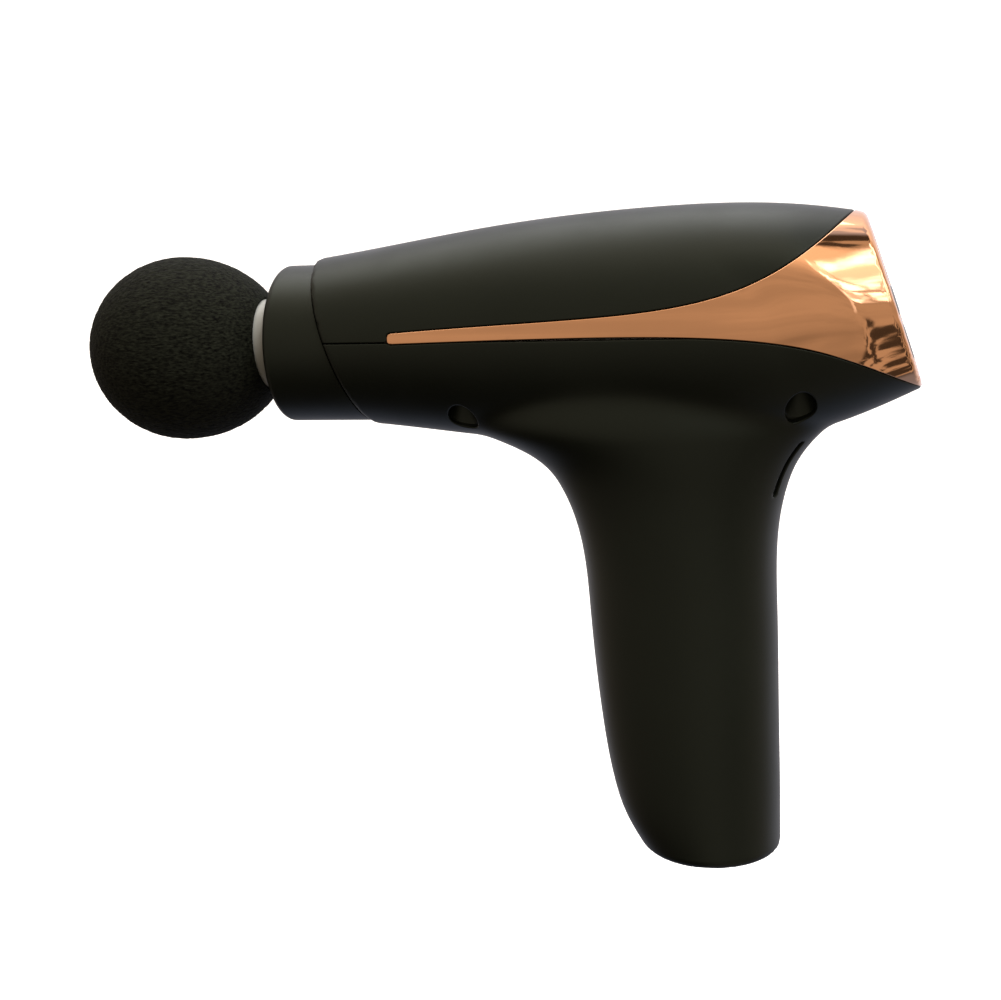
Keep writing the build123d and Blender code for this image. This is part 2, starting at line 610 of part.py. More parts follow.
with BuildPart() as nickel_strips:
    for z in (CELL_TOP + 0.02, CELL_LOW - 0.32):
        with BuildSketch(Plane.XY.offset(z)) as strip:
            with BuildLine():
                Polyline(CELLS, close=True)
            make_face()
            with Locations(CELLS):
                Circle(3.6)
        extrude(strip.sketch, amount=0.3)

CONTROL_X = 9.8
with BuildPart() as control_board:
    block(CONTROL_X, CONTROL_X + 1.6, -10, 10, -25, 38)

with BuildPart() as board_chips:
    for y0, y1, z0, z1, height in ((-4, 4, -2, 6, 1.2), (-7, -2, 14, 22, 1.6), (2, 7, 14, 22, 1.6), (-6, 0, -18, -10, 1.2)):
        block(CONTROL_X + 1.62, CONTROL_X + 1.62 + height, y0, y1, z0, z1)
    block(CONTROL_X + 1.62, CONTROL_X + 3.6, -4.2, 6.2, 30, 34.4)

BMS_Z = -36.0
with BuildPart() as bms_board:
    add(grip(WALL + 1.2))
    block(-60, 40, -40, 40, BMS_Z, BMS_Z + 1.6, Mode.INTERSECT)

with BuildPart() as charge_socket:
    upright(-3, 0, BASE_Z + 0.4, BASE_Z + WALL + 0.1, 4.9)
    block(-8.5, 2.5, -5.5, 5.5, BASE_Z + WALL + 0.05, BMS_Z - 0.02)
    upright(-3, 0, BASE_Z, BMS_Z - 3, 2.8, Mode.SUBTRACT)

with BuildPart() as charge_pin:
    upright(-3, 0, BASE_Z + 1.2, BMS_Z - 3, 1.0)

# Internal leads, each along straight runs and tangent bends
LEAD_R = 0.6
LEAD_X = 12.6


def lead(bend, radius, *points):
    """Round wire along a path of straight runs and bends."""
    with BuildPart() as wire:
        with BuildLine() as path:
            FilletPolyline(*points, radius=bend)
        run = points[1][0] - points[0][0], points[1][1] - points[0][1], points[1][2] - points[0][2]
        with BuildSketch(Plane(origin=points[0], z_dir=run)) as section:
            Circle(radius)
        sweep(section.sketch, path=path.line)
    return wire.part


with BuildPart() as motor_leads:
    for y in (-3, 0, 3):
        add(lead(1.6, LEAD_R, (3.2, y, STATOR_TOP + 1.15), (3.2, y, 75.8), (LEAD_X, y, 75.8), (LEAD_X, y, 34.45)))

with BuildPart() as battery_leads:
    for y in (-7.5, 7.5):
        add(lead(1.6, 0.8, (0, y, CELL_TOP + 0.35), (0, y, 42), (CONTROL_X + 0.8, y, 42), (CONTROL_X + 0.8, y, 38.05)))

with BuildPart() as charge_leads:
    for y in (-6, 6):
        add(lead(1.6, 0.8, (9.5, y, BMS_Z + 1.65), (9.5, y, -30), (CONTROL_X + 0.8, y, -28), (CONTROL_X + 0.8, y, -25.05)))

with BuildPart() as display_lead:
    socket_end = REAR.from_local_coords((5.4, -5, BOARD_W - 0.05))
    before = REAR.from_local_coords((5.4, -5, BOARD_W - 7))
    add(lead(2.5, LEAD_R, (LEAD_X, 5.4, 34.45), (LEAD_X, 5.4, 62), (27, 5.4, 75), (27, 5.4, 84),
             (before.X, before.Y, before.Z), (socket_end.X, socket_end.Y, socket_end.Z)))

pieces = {
    "upper_shell": upper_shell, "lower_shell": lower_shell, "rear_trim": rear_trim,
    "nose_collar": nose_collar, "nose_seal": nose_seal, "guide_bush": guide_bush,
    "mechanism_frame": mechanism_frame, "rubber_mounts": rubber_mounts, "frame_screws": frame_screws,
    "cover_screws": cover_screws, "stator_core": stator_core, "stator_coils": stator_coils,
    "motor_bearings": motor_bearings, "motor_rotor": motor_rotor, "rotor_magnets": rotor_magnets,
    "motor_shaft": motor_shaft, "cooling_fan": cooling_fan, "crank_disc": crank_disc,
    "crank_pin": crank_pin, "connecting_rod": connecting_rod, "big_end_bearing": big_end_bearing,
    "wrist_pin": wrist_pin, "piston": piston, "head_stem": head_stem, "stem_orings": stem_orings,
    "foam_ball": foam_ball, "display_window": display_window, "light_lenses": light_lenses,
    "display_board": display_board, "panel_switches": panel_switches,
    "power_button": button_parts["power"], "minus_button": button_parts["minus"],
    "plus_button": button_parts["plus"], "battery_cells": battery_cells,
    "cell_holder_top": cell_holder_top, "cell_holder_bottom": cell_holder_bottom,
    "nickel_strips": nickel_strips, "control_board": control_board, "board_chips": board_chips,
    "bms_board": bms_board, "charge_socket": charge_socket, "charge_pin": charge_pin,
    "motor_leads": motor_leads, "battery_leads": battery_leads, "charge_leads": charge_leads,
    "display_lead": display_lead,
}
for label, piece in pieces.items():
    piece.part.label = label
    export_step(piece.part, f"parts/{label}.step")
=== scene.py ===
import json
import math

import bmesh
import bpy
import numpy as np
from mathutils import Matrix, Vector
from mathutils.noise import noise as noise_at


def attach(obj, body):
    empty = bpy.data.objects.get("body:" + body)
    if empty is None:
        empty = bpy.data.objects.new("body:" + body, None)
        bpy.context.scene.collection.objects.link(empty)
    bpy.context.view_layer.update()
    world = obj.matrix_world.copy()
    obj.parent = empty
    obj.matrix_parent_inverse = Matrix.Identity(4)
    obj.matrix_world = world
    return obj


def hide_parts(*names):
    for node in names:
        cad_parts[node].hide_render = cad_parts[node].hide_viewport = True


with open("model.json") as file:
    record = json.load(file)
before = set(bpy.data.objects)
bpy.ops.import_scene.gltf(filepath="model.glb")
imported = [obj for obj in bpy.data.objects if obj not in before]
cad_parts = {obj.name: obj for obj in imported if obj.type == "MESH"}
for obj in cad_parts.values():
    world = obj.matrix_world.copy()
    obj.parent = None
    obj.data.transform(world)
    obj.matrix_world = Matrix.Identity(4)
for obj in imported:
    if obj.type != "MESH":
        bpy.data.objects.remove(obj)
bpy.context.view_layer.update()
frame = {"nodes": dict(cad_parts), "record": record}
scene = bpy.context.scene
nodes = frame["nodes"]

# ---------------------------------------------------------------- camera
IMAGE_WIDTH = 1001
FOCAL_PX = 1600.0
YAW, PITCH, ROLL = (math.radians(a) for a in (14.0, 8.0, -1.6))
DISTANCE = 0.452
TARGET = Vector((-0.060, 0.0, 0.0455))

back = Vector((math.sin(YAW) * math.cos(PITCH), -math.cos(YAW) * math.cos(PITCH), math.sin(PITCH)))
level_right = (-back).cross(Vector((0, 0, 1))).normalized()
level_up = level_right.cross(-back)
right = math.cos(ROLL) * level_right + math.sin(ROLL) * level_up
up = -math.sin(ROLL) * level_right + math.cos(ROLL) * level_up
camera = bpy.data.objects.new("camera", bpy.data.cameras.new("camera"))
scene.collection.objects.link(camera)
pose = Matrix((right, up, back)).transposed().to_4x4()
pose.translation = TARGET + back * DISTANCE
camera.matrix_world = pose
camera.data.sensor_width = 36.0
camera.data.lens = FOCAL_PX / IMAGE_WIDTH * camera.data.sensor_width
camera.data.clip_start = 0.01
camera.data.clip_end = 50.0
scene.camera = camera


# ---------------------------------------------------------------- housing skins
# The housing's outline in millimetres, as in the model: +X to the rear, +Z up.
AXIS_Z = 90.6
SPLIT_Z = 91.2
SEAM = 0.12
BARREL = [
    (-128.0, 69.0, 112.2, 21.4),
    (-100.0, 68.0, 115.9, 23.6),
    (-60.0, 63.7, 121.8, 26.6),
    (-15.0, 61.4, 125.5, 29.0),
    (25.0, 64.6, 124.6, 28.6),
    (62.0, 79.7, 117.6, 20.6),
]
BASE_Z = -52.0
HANDLE = [
    (BASE_Z, -19.5, 17.7, 21.2),
    (-43.0, -25.0, 17.7, 21.7),
    (-33.0, -28.4, 17.7, 22.0),
    (-15.0, -31.5, 17.5, 22.3),
    (15.0, -34.4, 17.2, 22.6),
    (36.0, -36.8, 17.4, 23.0),
    (50.0, -42.0, 20.0, 24.0),
    (60.0, -52.8, 25.0, 25.4),
    (66.0, -66.0, 30.0, 26.2),
    (76.0, -74.0, 34.0, 27.3),
    (86.0, -70.0, 32.0, 28.0),
]
FRONT_X = -103.0
FRONT_LEAN = math.radians(18.2)
REAR_POINT = np.array([47.9, 0.0, 99.15])
REAR_LEAN = math.radians(17.9)
FRONT_ROUND, REAR_ROUND, BASE_ROUND = 1.5, 1.3, 2.4
BLEND = 4.0                 # reach of the smooth junction of barrel and grip
PANEL_R, PANEL_DEPTH = 20.5, 4.0
SPIGOT_HOLE_R, SPIGOT_END_X = 19.9, -92.0
COVER_SCREWS = [(-66.0, 15.6), (-66.0, -15.6), (24.6, 19.0), (24.6, -19.0)]
SCREW_HOLE_R, SCREW_SEAT_Z = 4.0, 79.0
SOCKET_X, SOCKET_HOLE_R = -3.0, 5.0
VENT_PITCH, VENT_R = 9.0, 0.85
VENT_LOW, VENT_TOP = 48.85, 61.95
FAR = 50.0                  # a distance larger than any that matters

# Ridge on the rear flanks: how far in front of the rear face it runs, low down and higher up
RIDGE_LOW, RIDGE_EXTRA = 9.0, 9.0
RIDGE_TURN_Z, RIDGE_TURN = 97.0, 16.0
RIDGE_HEIGHT, RIDGE_LENGTH = 1.5, 22.0
RIDGE_SLOPE, RIDGE_ROUND = 0.10, 2.0
# Flare of the grip: where it starts to sink into the barrel, over what height, and how deep
SINK_Z, SINK_HEIGHT, SINK_DEPTH = 64.0, 20.0, 5.0


def smooth_through(rows):
    """Natural cubic spline through rows of a position and its values."""
    at = np.array([row[0] for row in rows])
    values = np.array([row[1:] for row in rows])
    step = np.diff(at)
    system = np.eye(len(at))
    bending = np.zeros_like(values)
    for i in range(1, len(at) - 1):
        system[i, i - 1:i + 2] = step[i - 1], 2 * (step[i - 1] + step[i]), step[i]
        bending[i] = 6 * ((values[i + 1] - values[i]) / step[i] - (values[i] - values[i - 1]) / step[i - 1])
    bending = np.linalg.solve(system, bending)

    def value(position):
        position = np.clip(position, at[0], at[-1])
        i = np.clip(np.searchsorted(at, position) - 1, 0, len(at) - 2)
        b = ((position - at[i]) / step[i])[:, None]
        a = 1 - b
        curve = ((a ** 3 - a) * bending[i] + (b ** 3 - b) * bending[i + 1]) * step[i][:, None] ** 2 / 6
        return (a * values[i] + b * values[i + 1] + curve).T

    return value


barrel_section = smooth_through(BARREL)
grip_section = smooth_through(HANDLE)


def eased(value, start, length):
    """Smooth rise from 0 to 1 over a length."""
    t = np.clip((value - start) / length, 0, 1)
    return t * t * (3 - 2 * t)


def oval_distance(a, b, half_a, half_b):
    """About how far a point is outside an oval of the given half-widths."""
    r = np.sqrt((a / half_a) ** 2 + (b / half_b) ** 2) + 1e-6
    slope = np.sqrt((a / half_a ** 2) ** 2 + (b / half_b ** 2) ** 2) / r + 1e-6
    return (r - 1) / slope


def behind_rear(p):
    """Distance out of the plane of the rear face."""
    return (p[:, 0] - REAR_POINT[0]) * math.cos(REAR_LEAN) + (p[:, 2] - REAR_POINT[2]) * math.sin(REAR_LEAN)


def barrel_distance(p):
    """Distance outside the barrel. Its flanks swell to a soft ridge and then turn in to the rear face."""
    low_z, high_z, half_y = barrel_section(p[:, 0])
    past = behind_rear(p) + RIDGE_LOW + RIDGE_EXTRA * eased(p[:, 2], RIDGE_TURN_Z, RIDGE_TURN)
    swell = RIDGE_HEIGHT * eased(past, -RIDGE_LENGTH, RIDGE_LENGTH)
    half_y = half_y + swell - RIDGE_SLOPE * (past + np.sqrt(past ** 2 + RIDGE_ROUND))
    return oval_distance(p[:, 1], p[:, 2] - (low_z + high_z) / 2, half_y, (high_z - low_z) / 2)


def grip_distance(p):
    """Distance outside the grip. Its flare sinks into the barrel towards its top, so that no edge shows."""
    front, rear, half_y = grip_section(p[:, 2])
    side = oval_distance(p[:, 0] - (front + rear) / 2, p[:, 1], (rear - front) / 2, half_y)
    side = side + SINK_DEPTH * eased(p[:, 2], SINK_Z, SINK_HEIGHT)
    return np.maximum(side, p[:, 2] - HANDLE[-1][0])


def rounded(a, b, radius):
    """Where both distances are negative, with the edge between them rounded."""
    outside = np.hypot(np.maximum(a + radius, 0), np.maximum(b + radius, 0))
    return outside + np.minimum(np.maximum(a, b) + radius, 0) - radius


def envelope(p):
    """Distance outside the housing, negative inside."""
    body, grip = barrel_distance(p), grip_distance(p)
    grip = rounded(grip, BASE_Z - p[:, 2], BASE_ROUND)
    h = np.maximum(BLEND - np.abs(body - grip), 0) / BLEND
    both = np.minimum(body, grip) - h ** 3 * BLEND / 6
    front = -(p[:, 0] - FRONT_X - SEAM) * math.cos(FRONT_LEAN) - (p[:, 2] - AXIS_Z) * math.sin(FRONT_LEAN)
    return rounded(rounded(both, behind_rear(p), REAR_ROUND), front, FRONT_ROUND)


def gradient(field, p, step=0.01):
    """Gradient of a field by central differences."""
    out = np.empty_like(p)
    for axis in range(3):
        shift = np.zeros(3)
        shift[axis] = step
        out[:, axis] = (field(p + shift) - field(p - shift)) / (2 * step)
    return out


def settle(field, p, rounds=3):
    """Moves points along the gradient onto the field's zero surface."""
    for _ in range(rounds):
        g = gradient(field, p)
        p = p - field(p)[:, None] * g / np.maximum((g ** 2).sum(1), 1e-9)[:, None]
    return p


def surface_net(field, low_corner, high_corner, pitch):
    """Quads over the zero surface of a field sampled on a grid."""
    axes = [np.arange(lo, hi, pitch) for lo, hi in zip(low_corner, high_corner)]
    shape = [len(a) for a in axes]
    grid = np.stack(np.meshgrid(*axes, indexing="ij"), -1).reshape(-1, 3)
    inside = (field(grid) < 0).reshape(shape)
    cells = tuple(n - 1 for n in shape)
    count = np.zeros(cells, int)
    for i in (0, 1):
        for j in (0, 1):
            for k in (0, 1):
                count += inside[i:i + cells[0], j:j + cells[1], k:k + cells[2]]
    mixed = (count > 0) & (count < 8)
    index = -np.ones(cells, int)
    index[mixed] = np.arange(mixed.sum())
    where = np.argwhere(mixed)
    points = np.stack([axes[a][where[:, a]] + pitch / 2 for a in range(3)], 1)
    quads = []
    for axis in range(3):
        b, c = (axis + 1) % 3, (axis + 2) % 3
        first = np.take(inside, range(0, shape[axis] - 1), axis)
        second = np.take(inside, range(1, shape[axis]), axis)
        for crossing, flip in ((first & ~second, False), (~first & second, True)):
            at = np.argwhere(crossing)
            at = at[(at[:, b] > 0) & (at[:, b] < cells[b]) & (at[:, c] > 0) & (at[:, c] < cells[c])]
            corners = []
            for db, dc in ((0, 0), (1, 0), (1, 1), (0, 1)):
                cell = at.copy()
                cell[:, b] -= db
                cell[:, c] -= dc
                corners.append(index[cell[:, 0], cell[:, 1], cell[:, 2]])
            quad = np.stack(corners, 1)
            quads.append(quad[:, ::-1] if flip else quad)
    return settle(field, points, 5), np.concatenate(quads)


def relax(points, quads, rounds, field):
    """Moves each point half-way to its neighbours' middle and back onto the field."""
    edges = np.concatenate([quads[:, [0, 1]], quads[:, [1, 2]], quads[:, [2, 3]], quads[:, [3, 0]]])
    degree = np.bincount(edges.ravel(), minlength=len(points))[:, None]
    for _ in range(rounds):
        total = np.zeros_like(points)
        np.add.at(total, edges[:, 0], points[edges[:, 1]])
        np.add.at(total, edges[:, 1], points[edges[:, 0]])
        points = settle(field, points + 0.5 * (total / degree - points), 1)
    return points


def bezier(points, steps):
    """Points along a cubic curve."""
    t = np.linspace(0, 1, steps)[:, None]
    a, b, c, d = (np.array(q, float) for q in points)
    return (1 - t) ** 3 * a + 3 * (1 - t) ** 2 * t * b + 3 * (1 - t) * t ** 2 * c + t ** 3 * d


def corner(before, at, after, radius):
    """Round corner between two directions."""
    before, at, after = (np.array(q, float) for q in (before, at, after))
    u, v = before - at, after - at
    u, v = u / np.linalg.norm(u), v / np.linalg.norm(v)
    ends = at + u * radius, at + v * radius
    return bezier((ends[0], at + u * radius * 0.45, at + v * radius * 0.45, ends[1]), 7)


TIP_TOP, TIP_LOW = (-84.0, 93.7), (-84.0, 90.7)
TRIM_OUTLINE = np.concatenate([
    bezier(((38.8, 124.2), (12, 93.6), (-10.5, 98.6), (-82.8, 93.77)), 120),
    corner((-10.5, 98.6), TIP_TOP, TIP_LOW, 1.0),
    corner(TIP_TOP, TIP_LOW, (24, 93.3), 1.0),
    bezier(((-82.8, 90.73), (24, 93.3), (25.5, 90.9), (58, 75)), 90),
    np.array([(80, 66), (80, 135), (43, 135)]),
])


def outside_trim(p):
    """Signed distance outside the copper trim's side outline."""
    q = p[:, [0, 2]]
    best = np.full(len(q), 1e9)
    wind = np.zeros(len(q), bool)
    for start, end in zip(TRIM_OUTLINE, np.roll(TRIM_OUTLINE, -1, 0)):
        run = end - start
        t = np.clip(((q - start) @ run) / max(run @ run, 1e-12), 0, 1)
        best = np.minimum(best, ((q - start - t[:, None] * run) ** 2).sum(1))
        crosses = (start[1] > q[:, 1]) != (end[1] > q[:, 1])
        with np.errstate(divide="ignore", invalid="ignore"):
            side = (end[0] - start[0]) * (q[:, 1] - start[1]) / (end[1] - start[1]) + start[0]
        wind ^= crosses & (q[:, 0] < side)
    return np.where(wind, -1, 1) * np.sqrt(best)


def panel_distance(p):
    """Distance outside the round opening in the rear face."""
    v = -(p[:, 0] - REAR_POINT[0]) * math.sin(REAR_LEAN) + (p[:, 2] - REAR_POINT[2]) * math.cos(REAR_LEAN)
    return np.maximum(np.hypot(p[:, 1], v) - PANEL_R, -behind_rear(p) - PANEL_DEPTH)


def nose_distance(p):
    """Distance outside the opening for the collar's spigot."""
    return np.where(p[:, 0] < SPIGOT_END_X, np.hypot(p[:, 1], p[:, 2] - AXIS_Z) - SPIGOT_HOLE_R, FAR)


def slot_distance(p):
    """Distance outside the three upright vent slots behind the neck."""
    out = np.full(len(p), FAR)
    z = np.clip(p[:, 2], VENT_LOW, VENT_TOP)
    for y in (-VENT_PITCH, 0.0, VENT_PITCH):
        out = np.minimum(out, np.hypot(p[:, 1] - y, p[:, 2] - z) - VENT_R)
    return np.where(p[:, 0] > 8, out, FAR)


def bore_distance(p):
    """Distance outside the four screw recesses and the charge socket's hole."""
    out = np.full(len(p), FAR)
    for x, y in COVER_SCREWS:
        off_axis = np.hypot(p[:, 0] - x, p[:, 1] - y)
        out = np.minimum(out, np.where(p[:, 2] < 86, off_axis - SCREW_HOLE_R, FAR))
    off_axis = np.hypot(p[:, 0] - SOCKET_X, p[:, 1])
    return np.minimum(out, np.where(p[:, 2] < -45, off_axis - SOCKET_HOLE_R, FAR))


# Each shell's own part of the surface is where its "keep" is positive.
def keep_upper(p):
    return np.minimum(np.minimum(p[:, 2] - SPLIT_Z, outside_trim(p)) - SEAM, nose_distance(p))


def keep_trim(p):
    return np.minimum(-outside_trim(p), panel_distance(p))


def keep_lower(p):
    side = np.minimum(SPLIT_Z - p[:, 2], outside_trim(p)) - SEAM
    return np.minimum(np.minimum(side, nose_distance(p)), np.minimum(slot_distance(p), bore_distance(p)))


def coordinates(bm):
    return np.array([v.co for v in bm.verts])


def cut(bm, keep, level, remove=False):
    """Splits faces along the line where keep is at a level, and may delete what is below it."""
    bm.verts.index_update()
    g = keep(coordinates(bm)) - level
    g = np.where(np.abs(g) < 0.02, 0.0, g)
    value = {v: g[v.index] for v in bm.verts}
    for e in [e for e in bm.edges if value[e.verts[0]] * value[e.verts[1]] < 0]:
        a, b = e.verts
        _, v = bmesh.utils.edge_split(e, a, value[a] / (value[a] - value[b]))
        value[v] = 0.0
    on_line = [v for v in bm.verts if value[v] == 0.0]
    faces = {f for v in on_line for f in v.link_faces}
    for f in faces:
        marks = [v for v in f.verts if value[v] == 0.0]
        signs = {value[v] > 0 for v in f.verts if value[v] != 0.0}
        if len(marks) != 2 or len(signs) != 2:
            continue
        if not any(marks[1] in e.verts for e in marks[0].link_edges if e in f.edges):
            bmesh.utils.face_split(f, marks[0], marks[1])
    if remove:
        gone = []
        for f in bm.faces:
            values = [value[v] for v in f.verts]
            flat = max(values) == 0
            if min(values) < 0 or flat and keep(np.array([f.calc_center_median()]))[0] < level:
                gone.append(f)
        bmesh.ops.delete(bm, geom=gone, context="FACES")


# ---------------------------------------------------------------- materials
def new_material(name):
    mat = bpy.data.materials.new(name)
    mat.use_nodes = True
    tree = mat.node_tree
    return mat, tree, tree.nodes["Principled BSDF"]


def noise(tree, scale, detail, distort=0.0, stretch=None):
    """Noise over the object's own coordinates, stretched along an axis if asked."""
    coord = tree.nodes.new("ShaderNodeTexCoord")
    node = tree.nodes.new("ShaderNodeTexNoise")
    node.inputs["Scale"].default_value = scale
    node.inputs["Detail"].default_value = detail
    node.inputs["Roughness"].default_value = 0.55
    node.inputs["Distortion"].default_value = distort
    if stretch:
        mapping = tree.nodes.new("ShaderNodeMapping")
        mapping.inputs["Scale"].default_value = stretch
        tree.links.new(coord.outputs["Object"], mapping.inputs["Vector"])
        tree.links.new(mapping.outputs["Vector"], node.inputs["Vector"])
    else:
        tree.links.new(coord.outputs["Object"], node.inputs["Vector"])
    return node.outputs["Fac"]


def ramp(tree, value, low, high):
    """Colour between two, by a noise value."""
    node = tree.nodes.new("ShaderNodeValToRGB")
    node.color_ramp.elements[0].position = 0.35
    node.color_ramp.elements[1].position = 0.65
    node.color_ramp.elements[0].color = (*low, 1)
    node.color_ramp.elements[1].color = (*high, 1)
    tree.links.new(value, node.inputs["Fac"])
    return node.outputs["Color"]


def remap(tree, value, low, high):
    """Number between two, by a noise value."""
    node = tree.nodes.new("ShaderNodeMapRange")
    node.inputs["From Min"].default_value = 0.3
    node.inputs["From Max"].default_value = 0.7
    node.inputs["To Min"].default_value = low
    node.inputs["To Max"].default_value = high
    tree.links.new(value, node.inputs["Value"])
    return node.outputs["Result"]


def bump(tree, height, strength, distance):
    node = tree.nodes.new("ShaderNodeBump")
    node.inputs["Strength"].default_value = strength
    node.inputs["Distance"].default_value = distance
    tree.links.new(height, node.inputs["Height"])
    return node.outputs["Normal"]


def finish(name, base, rough, metallic=0.0, vary=0.12, rough_vary=0.06, grain=2500.0, depth=0.00002,
           strength=0.3, patch=60.0, stretch=None, **sockets):
    """Procedural finish: patchy colour, uneven gloss and a fine grain."""
    mat, tree, shader = new_material(name)
    shader.inputs["Metallic"].default_value = metallic
    low = [c * (1 - vary) for c in base]
    high = [min(1.0, c * (1 + vary)) for c in base]
    patches = noise(tree, patch, 4.0, stretch=stretch)
    tree.links.new(ramp(tree, patches, low, high), shader.inputs["Base Color"])
    smudges = noise(tree, patch * 2.3, 5.0, distort=0.4, stretch=stretch)
    tree.links.new(remap(tree, smudges, rough - rough_vary, rough + rough_vary), shader.inputs["Roughness"])
    grains = noise(tree, grain, 3.0, stretch=stretch)
    tree.links.new(bump(tree, grains, strength, depth), shader.inputs["Normal"])
    for key, value in sockets.items():
        shader.inputs[key.replace("_", " ")].default_value = value
    return mat


BLACK_TINT = (0.86, 1.0, 0.88, 1.0)
MATERIALS = {
    "soft_black": finish("soft_black", (0.0036, 0.0042, 0.0028), 0.42, vary=0.10, rough_vary=0.03, grain=3200,
                         depth=0.000012, strength=0.35, patch=22, Specular_IOR_Level=0.28,
                         Specular_Tint=BLACK_TINT),
    "collar_black": finish("collar_black", (0.0040, 0.0046, 0.0031), 0.42, vary=0.1, rough_vary=0.03,
                           grain=3000, depth=0.000012, strength=0.35, patch=30, Specular_IOR_Level=0.30,
                           Specular_Tint=BLACK_TINT),
    "copper_plate": finish("copper_plate", (0.81, 0.43, 0.235), 0.06, metallic=1.0, vary=0.03,
                           rough_vary=0.02, grain=110, depth=0.00006, strength=0.25, patch=35),
    "pale_plastic": finish("pale_plastic", (0.24, 0.245, 0.225), 0.42, vary=0.05, grain=2600),
    "eva_foam": finish("eva_foam", (0.0062, 0.0069, 0.0046), 0.85, vary=0.9, rough_vary=0.08, grain=1500,
                       depth=0.0003, strength=0.9, patch=1100, stretch=(0.55, 1.0, 1.9),
                       Specular_IOR_Level=0.10),
    "black_rubber": finish("black_rubber", (0.012, 0.012, 0.012), 0.62, grain=1800, depth=0.00003),
    "panel_black": finish("panel_black", (0.006, 0.006, 0.007), 0.08, rough_vary=0.03, grain=700,
                          depth=0.000004),
    "light_lens": finish("light_lens", (0.75, 0.80, 0.84), 0.35, vary=0.05, grain=1500),
    "button_grey": finish("button_grey", (0.10, 0.10, 0.105), 0.38, grain=2400),
    "screw_steel": finish("screw_steel", (0.055, 0.055, 0.058), 0.34, metallic=0.85, grain=1500,
                          stretch=(1, 1, 6)),
    "bearing_plastic": finish("bearing_plastic", (0.42, 0.40, 0.33), 0.40),
    "cast_alloy": finish("cast_alloy", (0.50, 0.51, 0.52), 0.46, metallic=1.0, grain=1100, depth=0.00008),
    "lamination": finish("lamination", (0.22, 0.23, 0.25), 0.42, metallic=0.9, grain=900, stretch=(1, 1, 9)),
    "copper_wire": finish("copper_wire", (0.62, 0.26, 0.11), 0.30, metallic=1.0, grain=1400, depth=0.0002,
                          stretch=(1, 1, 5)),
    "bearing_steel": finish("bearing_steel", (0.62, 0.63, 0.64), 0.16, metallic=1.0, grain=1500),
    "rotor_steel": finish("rotor_steel", (0.30, 0.31, 0.33), 0.33, metallic=1.0, grain=1200,
                          stretch=(1, 1, 8)),
    "magnet": finish("magnet", (0.45, 0.45, 0.46), 0.28, metallic=1.0),
    "grey_plastic": finish("grey_plastic", (0.07, 0.07, 0.075), 0.48),
    "rod_alloy": finish("rod_alloy", (0.60, 0.61, 0.62), 0.34, metallic=1.0, grain=1000, stretch=(6, 1, 1)),
    "piston_alloy": finish("piston_alloy", (0.56, 0.57, 0.58), 0.25, metallic=1.0, grain=1400,
                           stretch=(8, 1, 1)),
    "circuit_board": finish("circuit_board", (0.02, 0.11, 0.04), 0.36, patch=400, vary=0.3),
    "chip_black": finish("chip_black", (0.014, 0.014, 0.015), 0.42),
    "cell_wrap": finish("cell_wrap", (0.03, 0.12, 0.22), 0.30, vary=0.06),
    "holder_white": finish("holder_white", (0.62, 0.62, 0.58), 0.50),
    "nickel": finish("nickel", (0.60, 0.57, 0.50), 0.24, metallic=1.0),
    "lead_yellow": finish("lead_yellow", (0.55, 0.38, 0.03), 0.45),
    "lead_red": finish("lead_red", (0.45, 0.02, 0.015), 0.45),
    "lead_white": finish("lead_white", (0.60, 0.60, 0.58), 0.45),
}
for part in frame["record"]["subparts"]:
    for socket in nodes[part["node"]].material_slots:
        socket.material = MATERIALS[part["material_slot"]]


# ---------------------------------------------------------------- shaped pieces
EDGE = 0.35                 # radius of the rounded rims
SKIN = 1.4                  # wall of the visible shells
NEAR = 2.5                  # reach of the finer mesh along a rim


def side_ways(keep, p, n):
    """Unit direction along the surface towards the piece's edge."""
    t = -gradient(keep, p)
    t -= (t * n).sum(1)[:, None] * n
    return t / np.maximum(np.linalg.norm(t, axis=1), 1e-9)[:, None]


def unit(v):
    """Rows scaled to length 1."""
    return v / np.maximum(np.linalg.norm(v, axis=1), 1e-9)[:, None]


def faces_near_rim(bm, keep):
    """Faces that lie near the line where keep is zero and aren't triangles yet."""
    bm.verts.index_update()
    g = np.abs(keep(coordinates(bm)))
    return [f for f in bm.faces if min(g[v.index] for v in f.verts) < NEAR and len(f.verts) > 3]


def trimmed_sheet(field, points, quads, keep):
    """Part of a surface where keep is positive, as triangles, with narrow bands along its edge."""
    g = keep(points)
    used = quads[g[quads].max(1) > -NEAR]
    bm = bmesh.new()
    vertex = {}
    for i in np.unique(used):
        vertex[i] = bm.verts.new(points[i])
    for quad in used:
        bm.faces.new([vertex[i] for i in quad])
    for level in (0.0, EDGE * 0.3, EDGE):
        bmesh.ops.triangulate(bm, faces=faces_near_rim(bm, keep))
        cut(bm, keep, level, remove=level == 0.0)
    bmesh.ops.triangulate(bm, faces=list(bm.faces))
    bmesh.ops.delete(bm, geom=[v for v in bm.verts if not v.link_faces], context="VERTS")
    bm.verts.index_update()
    faces = np.array([[v.index for v in f.verts] for f in bm.faces])
    out = coordinates(bm)
    edge = np.array([v.is_boundary for v in bm.verts])
    border = np.array([[loop.vert.index, loop.link_loop_next.vert.index]
                       for e in bm.edges if e.is_boundary for loop in e.link_loops])
    bm.free()
    for _ in range(4):
        out = settle(field, out, 1)
        at = out[edge]
        step = gradient(keep, at)
        out[edge] = at - keep(at)[:, None] * step / np.maximum((step ** 2).sum(1), 1e-9)[:, None]
    return out, faces, edge, border


